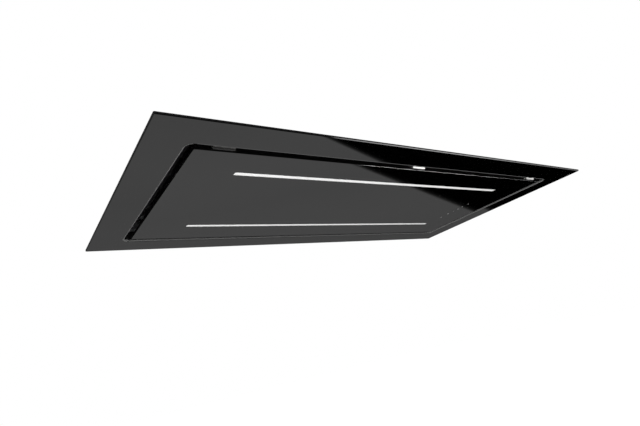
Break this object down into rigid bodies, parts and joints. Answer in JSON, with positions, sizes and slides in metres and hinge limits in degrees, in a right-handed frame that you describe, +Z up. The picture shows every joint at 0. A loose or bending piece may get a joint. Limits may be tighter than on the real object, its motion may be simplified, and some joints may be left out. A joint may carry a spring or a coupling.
{
  "type": "ceiling range hood",
  "caption": "Flush ceiling range hood with a black glass frame, a drop-down glass panel with light strips, grease filters, a blower and a side outlet.",
  "frame": {"origin": "centre of the ceiling cut-out in the plane of the ceiling's underside, level with the upper face of the angle frame", "axes": "+X along the hood, +Z up into the ceiling, the hinges on the -Y side and the outlet on the +Y side"},
  "size_m": [1.2, 0.6, 0.2744],
  "materials": {
    "black_glass": "gloss black, polished edges",
    "black_paint": "satin black powder coat",
    "galvanised_steel": "galvanised, faint spangle",
    "stainless_steel": "fine brushed",
    "zinc_screws": "zinc plated",
    "opal_plastic": "opal, lit from behind",
    "plain_aluminium": "mill finish",
    "aluminium_mesh": "expanded mesh",
    "board_laminate": "white solder mask",
    "black_plastic": "moulded, fine grain",
    "flap_plastic": "moulded grey",
    "white_plastic": "moulded white",
    "post_rubber": "matt",
    "cast_aluminium": "die cast",
    "ground_steel": "ground"
  },
  "bodies": {
    "hood": {"casing_top": "galvanised_steel", "casing_side_near": "galvanised_steel", "casing_side_far": "galvanised_steel", "casing_ends": "galvanised_steel", "flange_frame": "galvanised_steel", "trim_frame": "black_paint", "trim_glass": "black_glass", "trim_screws": "zinc_screws", "hinge_fixed_leaves": "stainless_steel", "hinge_pins": "stainless_steel", "catch_brackets": "black_paint", "catch_magnets": "black_plastic", "filter_plate": "black_paint", "filter_rails": "black_paint", "filter_frame_left": "plain_aluminium", "filter_frame_middle": "plain_aluminium", "filter_frame_right": "plain_aluminium", "filter_mesh_left": "aluminium_mesh", "filter_mesh_middle": "aluminium_mesh", "filter_mesh_right": "aluminium_mesh", "inlet_ring": "galvanised_steel", "scroll_lower": "black_plastic", "scroll_upper": "black_plastic", "scroll_screws": "zinc_screws", "blower_posts": "post_rubber", "motor_plate": "galvanised_steel", "motor_body": "cast_aluminium", "motor_bearings": "ground_steel", "outlet_adapter": "black_plastic", "outlet_collar": "black_plastic", "collar_screws": "zinc_screws", "damper_spindle": "ground_steel", "control_box": "galvanised_steel", "control_cover": "galvanised_steel", "terminal_block": "white_plastic", "led_driver": "white_plastic", "cable_gland": "black_plastic", "hanging_brackets": "galvanised_steel"},
    "glass_panel": {"panel_glass": "black_glass", "panel_tray": "black_paint", "glass_clips": "stainless_steel", "led_profiles": "plain_aluminium", "led_diffusers": "opal_plastic", "led_boards": "board_laminate", "touch_board": "board_laminate", "touch_cover": "black_plastic", "hinge_moving_leaves": "stainless_steel", "hinge_moving_screws": "zinc_screws", "catch_strikers": "stainless_steel"},
    "rotor": {"impeller": "black_plastic", "impeller_disc": "black_plastic", "motor_shaft": "ground_steel", "shaft_nut": "ground_steel"},
    "flap_left": {"damper_flap_left": "flap_plastic"},
    "flap_right": {"damper_flap_right": "flap_plastic"},
    "latch_left": {"filter_latch_left": "black_plastic"},
    "latch_middle": {"filter_latch_middle": "black_plastic"},
    "latch_right": {"filter_latch_right": "black_plastic"}
  },
  "joints": [
    {"name": "panel_hinge", "type": "hinge", "parent": "hood", "child": "glass_panel", "pos_m": [0, -0.221, -0.0019], "axis": [-1, 0, 0], "range_deg": [0, 90]},
    {"name": "impeller_spin", "type": "hinge", "parent": "hood", "child": "rotor", "pos_m": [-0.14997, -0.035, 0.164], "axis": [0, 0, 1], "continuous": true},
    {"name": "flap_left_swing", "type": "hinge", "parent": "hood", "child": "flap_left", "pos_m": [0, 0.2572, 0.164], "axis": [0, 0, -1], "range_deg": [0, 80], "stiffness_Nm_per_rad": 0.02},
    {"name": "flap_right_swing", "type": "hinge", "parent": "hood", "child": "flap_right", "pos_m": [0, 0.2572, 0.164], "axis": [0, 0, 1], "range_deg": [0, 80], "stiffness_Nm_per_rad": 0.02},
    {"name": "latch_left_slide", "type": "slide", "parent": "hood", "child": "latch_left", "axis": [0, 1, 0], "range_m": [0, 0.005], "stiffness_N_per_m": 200},
    {"name": "latch_middle_slide", "type": "slide", "parent": "hood", "child": "latch_middle", "axis": [0, 1, 0], "range_m": [0, 0.005], "stiffness_N_per_m": 200},
    {"name": "latch_right_slide", "type": "slide", "parent": "hood", "child": "latch_right", "axis": [0, 1, 0], "range_m": [0, 0.005], "stiffness_N_per_m": 200}
  ]
}
